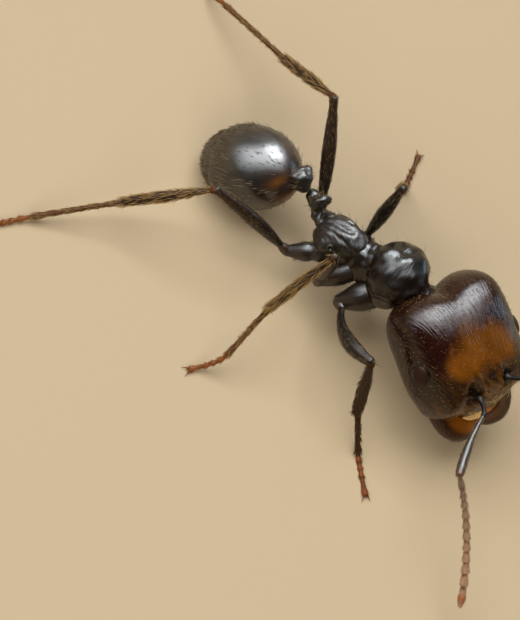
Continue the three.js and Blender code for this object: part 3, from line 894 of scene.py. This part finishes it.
def gaster_seams(own, rise):
    """What rises at each seam of the gaster, which lies further forward under the belly."""
    back = own[:, 1] + 0.1 * np.maximum(-own[:, 2], 0)
    return [rise(back, seam) for seam in GASTER_SEAMS]


def gaster_relief(own):
    tucked = sum(gaster_seams(own, lambda back, seam: step(back, seam, seam + 0.07)))
    return 0.006 * ripple(own, 0.9, 17) - 0.012 * tucked


def build_gaster():
    """Four rings of shell, each tucked under the one before it."""
    shape = body(gaster_field, (0, 0, 0), pole_net(150, 96), GASTER, gaster_relief)
    seams = gaster_seams(shape.marks["smooth"], lambda back, seam: hump(back, seam + 0.05, 0.05))
    x, y, z = shape.marks["own"].T
    shade = mix(colour(20, 11, 4), colour(44, 30, 16), np.max(seams, axis=0) * 0.5)
    shade = mix(shade, colour(60, 38, 16), step(-z, -0.1, 0.7) * 0.7)
    shade = mix(shade, colour(36, 13, 5), step(-y, 0.55, 1.1) * 0.8)
    # The amber near the waist is a painted sheen, stronger on the right, near side; the amber under the
    # gaster's front is painted sheen too.
    glow = hump(np.abs(x), 0.5, 0.3) * hump(y, -1.1, 0.22) * hump(z, 0.36, 0.12)
    shade = mix(shade, colour(108, 66, 0), 0.9 * glow * np.where(x < 0, 1, 0.2))
    paint(shape, mix(shade, colour(104, 60, 4), step(-y, 0.9, 1.25) * step(-z, -0.1, 0.4)))
    lie_along(shape, GASTER, vec(0, 1, 0))
    make_piece("gaster_plates", shape, GASTER_SHELL)
    return shape


# ---- legs
# The femur that isn't as the rest: how far its curve's control stands off its straight line, and
# how far down it is widest.
BOW = {"front_right": vec(-0.31, 0.44, -0.25)}
WIDEST = {"front_right": 1.7}
TOE_JOINTS = (0, 0.26, 0.44, 0.6, 1.0)


def leg_shapes(name):
    """A leg's shapes, by the names of its parts."""
    pair, side = name.split("_")
    sizes, sign = PAIRS[pair], SIDES[side]
    root, hip, knee, ankle, ball, toe = leg_joints(name)
    coxa_half, thigh_half, shin_half = sizes["coxa"], sizes["femur"][1], sizes["tibia"][1]
    thigh, shin, heel = unit(knee - hip), unit(ankle - knee), unit(ball - ankle)
    hinge = unit(np.cross(thigh, shin))
    thigh_up, shin_up = unit(np.cross(thigh, hinge)), unit(np.cross(hinge, shin))
    thigh_up = thigh_up * math.copysign(1, thigh_up[2])
    waist = 0.2 if pair == "hind" else 0

    def coxa(size, start):
        return lambda t: coxa_half * (size - 0.5 * step(t, start, 1.1) - waist * hump(t, 0.42, 0.09))

    def trochanter(t):
        return 0.15 - 0.05 * t + 0.02 * np.sin(math.pi * t)

    def femur(t):
        belly = np.sin(math.pi * np.clip(t, 0, 1) ** WIDEST.get(name, 0.85)) ** 1.1
        return thigh_half * (0.44 + 0.56 * belly + 0.14 * step(t, 0.85, 1.0))

    def tibia(t):
        return shin_half * (0.52 + 0.5 * step(t, 0.02, 0.5) - 0.12 * step(t, 0.75, 1.0))

    def tarsus(t):
        return 0.062 + 0.02 * step(t, 0.8, 1.0) + 0.012 * hump(t, 0, 0.1)

    neck = hip + thigh * 0.3
    bow = neck * 0.45 + knee * 0.55 + BOW.get(name, thigh_up * 0.14)
    spur_root = ankle - shin * 0.05 - shin_up * shin_half * 0.6 * math.copysign(1, shin_up[2])
    spur = unit(shin + heel * 0.8)
    shapes = {
        "coxa": limb(
            bezier(root, (root + hip) / 2 + vec(0.08 * sign, 0, 0), hip), coxa(0.97, 0.35), 22, 28,
            up=unit(np.cross(unit(hip - root), vec(0, 1, 0.2))), deep=coxa(0.92, 0.4),
        ),
        "trochanter": limb(bezier(hip - thigh * 0.02, neck), trochanter, 12, 20, up=thigh_up),
        "femur": limb(
            bezier(neck - thigh * 0.04, bow, knee), lambda t: femur(t) * 0.92, 44, 28,
            up=thigh_up, deep=femur,
        ),
        "tibia": limb(
            bezier(knee + shin * 0.02, (knee + ankle) / 2, ankle), lambda t: tibia(t) * 0.88, 36, 22,
            up=shin_up, deep=tibia,
        ),
        "spur": limb(
            bezier(spur_root, spur_root + spur * 0.2, spur_root + spur * 0.34), taper(0.03, 1.05), 10, 8,
            up=shin_up,
        ),
        "heel": limb(bezier(ankle + heel * 0.03, (ankle + ball) / 2 + ABOVE * 0.03, ball), tarsus, 24, 16),
    }
    flat = unit((toe - ball) * vec(1, 1, 0))
    reach = sizes["toes"]
    course = bezier(ball, ball + heel * reach * 0.35, toe - flat * reach * 0.3 + ABOVE * 0.02, toe)
    toes = []
    for low, high in zip(TOE_JOINTS, TOE_JOINTS[1:]):
        piece = stretch(course, low + 0.03 * (high - low), high)
        toes.append(limb(piece, lambda t: 0.05 + 0.03 * step(t, 0.45, 0.95), 12, 14))
    claws = []
    for across in np.cross(flat, ABOVE) * vec(1, -1)[:, None]:
        start = toe + flat * 0.01 + across * 0.03
        knuckle = start + flat * 0.13 + across * 0.07 + ABOVE * 0.03
        end = start + flat * 0.2 + across * 0.1 - ABOVE * 0.062
        claws.append(limb(bezier(start, knuckle, end), taper(0.024, 1.04), 10, 8))
    skins = []
    for joint, before, after, size in (
        (hip, unit(hip - root), thigh, 0.12),
        (knee, thigh, shin, 0.52 * thigh_half),
        (ankle, shin, heel, 0.45 * shin_half),
    ):
        fold = bezier(joint - before * size * 0.9, joint, joint + after * size * 0.9)
        skins.append(limb(fold, even(size), 10, 14, up=hinge))
    return {**shapes, "toes": in_bands(toes), "claws": join(claws), "skins": join(skins)}


# What a part of a leg is made of, and its colours at the near and the far end.
LEG_LOOKS = {
    "coxa": ("limb_shell", COXA_SHELL, SOOT, SOOT),
    "trochanter": ("limb_shell", COXA_SHELL, SOOT, UMBER),
    "femur": ("limb_shell", LIMB_SHELL, PITCH, SOOT),
    "tibia": ("limb_shell", LIMB_SHELL, colour(34, 20, 10), colour(46, 27, 13)),
    "spur": ("limb_shell", TOE_SHELL, GOLD, GOLD),
    "heel": ("toe_shell", TOE_SHELL, colour(66, 40, 18), colour(96, 54, 26)),
    "toes": ("toe_shell", TOE_SHELL, colour(116, 60, 20), colour(150, 82, 32)),
    "claws": ("toe_shell", TOE_SHELL, RUST, SOOT),
    "skins": ("limb_shell", JOINT_SKIN, colour(60, 33, 16), colour(60, 33, 16)),
}
# The colours that differ, on a leg or on a pair.
ODD_TINTS = {
    "hind": {"femur": (SOOT, colour(46, 28, 12)), "skins": (colour(86, 43, 18), colour(86, 43, 18))},
    "front_right": {"heel": (colour(74, 32, 8), colour(70, 34, 12))},
    "middle_left": {"toes": (colour(60, 32, 14), colour(84, 44, 18))},
}


def build_legs():
    legs = {name: leg_shapes(name) for name in POSES}
    for name, shapes in legs.items():
        odd = ODD_TINTS.get(name, ODD_TINTS.get(name.split("_")[0], {}))
        for part, shape in shapes.items():
            slot, material, *tints = LEG_LOOKS[part]
            near, far = odd.get(part, tints)
            paint(shape, mix(near, far, shape.marks["along"]))
            make_piece(f"{part}_{name}_shell", shape, material)
    return legs


# ---- hair
PATCH = 0.003  # how wide one hair's patch is on its coat's map
HAIR_STEPS = (0.0, 0.35, 0.7, 1.0)  # places along a hair, root to tip
HAIR_GIRTH = (1.0, 0.8, 0.5)
# A hair's triangles: the closed root, two bands of six, and the tip.
BAND = [((a, b, b + 3), (a, b + 3, a + 3)) for a, b in ((0, 1), (1, 2), (2, 0), (3, 4), (4, 5), (5, 3))]
HAIR_FACES = np.array([(0, 2, 1), *sum(BAND, ()), (6, 7, 9), (7, 8, 9), (8, 6, 9)])


def grow(square, columns, skin, seed, count, length, girth, lift, tints, where=None, curl=1.0, stray=0.25):
    """Hairs of solid mesh, each rooted in a skin and lying along it. `length` and `lift` give the
    shortest and longest hair, and how many degrees they rise from the skin; `tints` colours root
    and tip, `where` weighs the skin's points, and `square` is the skin's own on the coat's map,
    which is `columns` squares wide."""
    draw = np.random.default_rng(seed)
    weight = np.linalg.norm(np.cross(*skin.edges()), axis=1)
    if where is not None:
        weight = weight * where[skin.faces].mean(axis=1)
    at = skin.faces[draw.choice(len(weight), count, p=weight / weight.sum())]
    share = draw.dirichlet((1, 1, 1), count)[..., None]

    def held(values):
        return (values[at] * share).sum(axis=1)

    unwrap = skin.marks["unwrap"]
    seam = np.ptp(unwrap[at][..., 0], axis=1) > 0.5
    spot = np.where(seam[:, None], unwrap[at[:, 0]], held(unwrap))
    normal = unit(held(skin.normals()))
    lie = unit(held(skin.marks["lie"]) + draw.normal(scale=stray, size=(count, 3)))
    lie = unit(lie - normal * (lie * normal).sum(axis=1, keepdims=True))
    aside = np.cross(normal, lie)
    long = draw.uniform(*length, count)[:, None]
    rise = np.radians(draw.uniform(*lift, count))[:, None]
    root = held(skin.points) - normal * girth
    thick = girth * draw.uniform(0.8, 1.2, count)[:, None]
    points, patches, fade = [], [], []
    for way, size in zip(HAIR_STEPS, (*HAIR_GIRTH, 0)):
        climb = np.sin(rise) * (way - 0.5 * curl * way**2)
        middle = root + long * (np.cos(rise) * way * lie + climb * normal)
        for side in range(3 if size else 1):
            angle = side * 2 * math.pi / 3
            points.append(middle + thick * size * (math.cos(angle) * normal + math.sin(angle) * aside))
            patches.append(spot + PATCH * columns * vec(side / 2 - 0.5, way - 0.5))
            fade.append(way)
    faces = (HAIR_FACES + np.arange(count)[:, None, None] * len(points)).reshape(-1, 3)
    shade = draw.uniform(0.65, 1.2, count)[:, None, None] * mix(*tints, fade)
    row, column = divmod(square, columns)
    patch = (np.clip(np.stack(patches, axis=1), 0.01, 0.99) + vec(column, row)) / columns
    points = np.stack(points, axis=1).reshape(-1, 3)
    return Shape(points, faces, shade=shade.reshape(-1, 3), patch=patch.reshape(-1, 2))


def make_coat(name, slot, *rows):
    """One piece of all the hairs that its rows grow. A row is a skin, a seed, and so on as in `grow`."""
    skins = list(dict.fromkeys(row[0] for row in rows))
    columns = math.ceil(math.sqrt(len(skins)))
    make_piece(name, join([grow(skins.index(row[0]), columns, *row) for row in rows]), HAIR)


def hair_head(head):
    aside, forward, out = head_axes(head.marks["own"])
    clear = step(eye_distance(head.marks["own"]), 0.26, 0.34) * (1 - step(forward, 1.5, 1.6))
    open_ = clear * (1 - 0.9 * hump(aside, 0.6, 0.3) * hump(forward, 1.0, 0.3))
    fringe = hump(forward, 1.5, 0.08) * step(out, 0.1, 0.4) * (1 - step(aside, 0.75, 0.9))
    beard = step(-out, 0.35, 0.6) * step(forward, -0.9, 0.2) * clear
    tawny = colour(112, 74, 36), colour(214, 178, 126)
    make_coat(
        "hair_head", "head_shell",
        (head, 101, 1500, (0.05, 0.1), 0.0045, (8, 28), tawny, open_),
        (head, 102, 900, (0.06, 0.13), 0.004, (40, 80), (SMOKE, DUSTY), open_, 0.5),
        (head, 103, 34, (0.25, 0.45), 0.006, (20, 50), (GOLD, GOLD), fringe, 1.0, 0.15),
        (head, 104, 130, (0.45, 0.75), 0.008, (35, 60), (GOLD, STRAW), beard, 1.0, 0.2),
    )


def hair_pairs(jaws, antennae, plates, knots):
    """The coats of jaws, feelers, trunk and waist."""
    coats = {"mandibles": [], "antennae": [], "trunk": [], "waist": []}
    for k, (jaw, (scape, lash), plate, knot) in enumerate(zip(jaws, antennae, plates, knots)):
        bare = step(jaw.marks["along"], 0.8, 0.95)
        back, crest = step(plate.marks["own"][:, 2], -0.3, 0.2), step(knot.marks["own"][:, 2], -0.1, 0.15)
        coats["mandibles"] += [(jaw, 111 + k, 160, (0.08, 0.18), 0.005, (15, 45), (SMOKE, DUSTY), 1 - bare)]
        coats["antennae"] += [
            (scape, 121 + k, 420, (0.08, 0.13), 0.005, (15, 40), (SMOKE, STRAW)),
            (lash, 123 + k, 2000, (0.08, 0.13), 0.005, (12, 34), (DUSTY, PALE), None, 1.0, 0.12),
        ]
        coats["trunk"] += [
            (plate, 131 + k, 170, (0.08, 0.14), 0.005, (15, 40), DARK),
            (plate, 133 + k, 60, (0.2, 0.34), 0.005, (45, 75), DARK, back, 0.6),
        ]
        coats["waist"] += [(knot, 141 + k, 80, (0.14, 0.28), 0.006, (35, 65), (SMOKE, STRAW), crest, 0.7)]
    slots = "head_shell", "limb_shell", "body_shell", "body_shell"
    for (name, rows), slot in zip(coats.items(), slots):
        make_coat(f"hair_{name}", slot, *rows)


def hair_gaster(gaster):
    where = 0.1 + 0.9 * step(gaster.marks["own"][:, 1], -0.1, 0.6)
    pale = colour(70, 54, 36), colour(186, 166, 136)
    make_coat(
        "hair_gaster", "body_shell",
        (gaster, 151, 1500, (0.16, 0.27), 0.008, (14, 36), pale, where, 1.0, 0.15),
        (gaster, 152, 500, (0.12, 0.22), 0.006, (40, 75), DARK, where, 0.5),
    )


# How many hairs each piece of a leg has, how long and thick they are and how they rise; then
# their colours, and those of a front leg's.
LEG_HAIR = {
    "coxa": ((90, (0.12, 0.22), 0.006, (25, 60)), DARK, DARK),
    "femur": ((260, (0.12, 0.2), 0.005, (12, 32)), (SMOKE, STRAW), (SMOKE, STRAW)),
    "tibia": ((420, (0.2, 0.32), 0.01, (8, 26)), (colour(128, 90, 50), colour(228, 190, 120)), DARK),
    "heel": ((320, (0.15, 0.24), 0.0095, (8, 26)), (SMOKE, GOLD), DARK),
    "toes": ((330, (0.08, 0.14), 0.006, (15, 40)), (RUST, GOLD), (RUST, SMOKE)),
}


def hair_legs(legs):
    seed = 160
    for pair in PAIRS:
        rows = []
        for side in SIDES:
            for part, (sizes, tints, fore_tints) in LEG_HAIR.items():
                seed += 1
                tints = fore_tints if pair == "front" else tints
                rows.append((legs[f"{pair}_{side}"][part], seed, *sizes, tints))
        make_coat(f"hair_legs_{pair}", "limb_shell", *rows)


# ---- building
head = build_head()
jaws, antennae = [], []
for side, sign in SIDES.items():
    make_piece(f"eye_{side}_facets", eye_shape(sign), EYE_SHELL)
    jaws.append(mandible_shape(sign))
    make_piece(f"mandible_{side}_shell", jaws[-1], JAW_SHELL)
    root, scape, beads = antenna_shapes(*ANTENNAE[side])
    antennae.append((scape, in_bands(beads)))
    make_piece(f"scape_root_{side}_shell", root, EYE_SHELL)
    make_piece(f"scape_{side}_shell", scape, SCAPE_SHELL)
    make_piece(f"funiculus_{side}_beads", join(beads[:6]), TOE_SHELL)
    make_piece(f"antenna_tip_{side}_beads", join(beads[6:]), TOE_SHELL)
build_mouth()
plates = build_trunk()
gaster = build_gaster()
legs = build_legs()
hair_head(head)
hair_pairs(jaws, antennae, plates[:2], plates[2:])
hair_gaster(gaster)
hair_legs(legs)


# ---- stage, camera and light
# Camera angles: azimuth 0 looks along +Y and 90 along -X; the roll turns the picture.
CAMERA_AZIMUTH = -103.2
CAMERA_ELEVATION = 58.35
CAMERA_ROLL = -53.3
CAMERA_DISTANCE = 110.0
PICTURE_WIDTH = 520 / 38  # millimetres across the picture at the trunk
AIM_RIGHT = -3.03         # the picture's middle, from the trunk's, across the picture
AIM_UP = -1.39            # and up it
STAGE_RADIUS = 0.5        # in metres, as the rest of the stage is
WALL_HEIGHT = 0.12
WALL_SIDES = 96
LIT_RADIUS = 0.14         # how far the lamps light the floor
PAPER_GLOW = 0.62         # how bright the paper is where they don't
CAMERA_TURN = turn("z", CAMERA_AZIMUTH) @ turn("x", 90 - CAMERA_ELEVATION) @ turn("z", -CAMERA_ROLL)
RIGHT, UP, TOWARD = CAMERA_TURN.T
AIM = TRUNK.origin + RIGHT * AIM_RIGHT + UP * AIM_UP


def facing(right, up, toward, origin):
    matrix = Matrix(stacked(right, up, toward).tolist()).to_4x4()
    matrix.translation = Vector(origin * MM)
    return matrix


def build_camera():
    data = bpy.data.cameras.new("camera")
    data.sensor_fit = "HORIZONTAL"
    data.sensor_width = 36
    data.lens = data.sensor_width * CAMERA_DISTANCE / PICTURE_WIDTH
    data.clip_start = 0.001
    camera = add_object("camera", data)
    camera.matrix_world = facing(RIGHT, UP, TOWARD, AIM + TOWARD * CAMERA_DISTANCE)
    bpy.context.scene.camera = camera


def area_light(name, aside, above, ahead, distance, size, power, tint=(1, 1, 1), only=None):
    """A soft light in the direction aside, above and ahead as the camera sees it; `only` limits
    it to "gloss" or to "diffuse" light."""
    away = unit(RIGHT * aside + UP * above + TOWARD * ahead)
    data = bpy.data.lights.new(name, "AREA")
    data.shape = "RECTANGLE"
    data.size, data.size_y = size[0] * MM, size[1] * MM
    data.energy = power
    data.color = tint
    light = add_object(name, data)
    across = unit(np.cross(UP, away))
    light.matrix_world = facing(across, np.cross(away, across), away, TRUNK.origin + away * distance)
    light.visible_diffuse = only != "gloss"
    light.visible_glossy = only != "diffuse"


def stage_piece(name, corners, faces):
    """A piece of pale paper that glows faintly far from the model, where the lamps don't reach."""
    paper = (*colour(222, 200, 164), 1)
    looks = Looks(f"{name}_paper")
    away = looks.add("VectorMath", {0: looks.place()}, "Value", operation="LENGTH")
    inputs = {"Value": away, "From Min": LIT_RADIUS, "From Max": STAGE_RADIUS, "To Max": PAPER_GLOW}
    glow = looks.add("MapRange", inputs, interpolation_type="SMOOTHSTEP")
    seen = looks.add("LightPath", {}, "Is Camera Ray")
    for ray in ("Is Glossy Ray", "Is Transmission Ray"):
        seen = looks.add("Math", {0: seen, 1: looks.add("LightPath", {}, ray)}, operation="MAXIMUM")
    strength = looks.add("Math", {0: seen, 1: glow}, operation="MULTIPLY")
    looks.set(looks.shader, {
        "Base Color": paper, "Roughness": 0.9, "Specular IOR Level": 0.1,
        "Emission Color": paper, "Emission Strength": strength,
    })
    add_mesh(name, corners, faces, looks.material)


def build_stage():
    half, radius = STAGE_RADIUS + 0.1, STAGE_RADIUS
    square = [(-half, -half, 0), (half, -half, 0), (half, half, 0), (-half, half, 0)]
    stage_piece("floor", square, [(0, 1, 2, 3)])
    # A low round wall hides the floor's far edge.
    angles = np.arange(WALL_SIDES) * 2 * math.pi / WALL_SIDES
    corners = [(radius * math.cos(a), radius * math.sin(a), z) for z in (0, WALL_HEIGHT) for a in angles]
    after = [(k + 1) % WALL_SIDES for k in range(WALL_SIDES)]
    stage_piece("wall", corners, [(k, k + WALL_SIDES, n + WALL_SIDES, n) for k, n in enumerate(after)])
    world = bpy.data.worlds.new("world")
    world.use_nodes = True
    background = world.node_tree.nodes["Background"]
    background.inputs["Color"].default_value = (*colour(236, 228, 214), 1)
    background.inputs["Strength"].default_value = 0.05
    bpy.context.scene.world = world


build_camera()
build_stage()
area_light("key", 0.05, 0.62, 0.78, 360, (420, 276), 1.22)
area_light("fill", 0.1, -0.45, 0.85, 360, (300, 240), 0.43, tint=(1.0, 0.95, 0.86), only="diffuse")
area_light("gloss_card", 0.1, 0.62, 0.78, 30, (74, 38), 0.0235, tint=(0.9, 0.98, 1.02), only="gloss")
area_light("gloss_core", 0.24, 0.68, 0.69, 30, (36, 28), 0.0034, tint=(0.92, 0.99, 1.02), only="gloss")
area_light("gloss_edge", 0.44, 0.82, 0.38, 30, (16, 20), 0.014, tint=(0.94, 1.0, 1.03), only="gloss")
area_light("sky_card", 0.94, 0.23, -0.25, 40, (9, 9), 0.0015, tint=(0.4, 0.72, 1.0), only="gloss")
bpy.context.scene.view_settings.view_transform = "Standard"
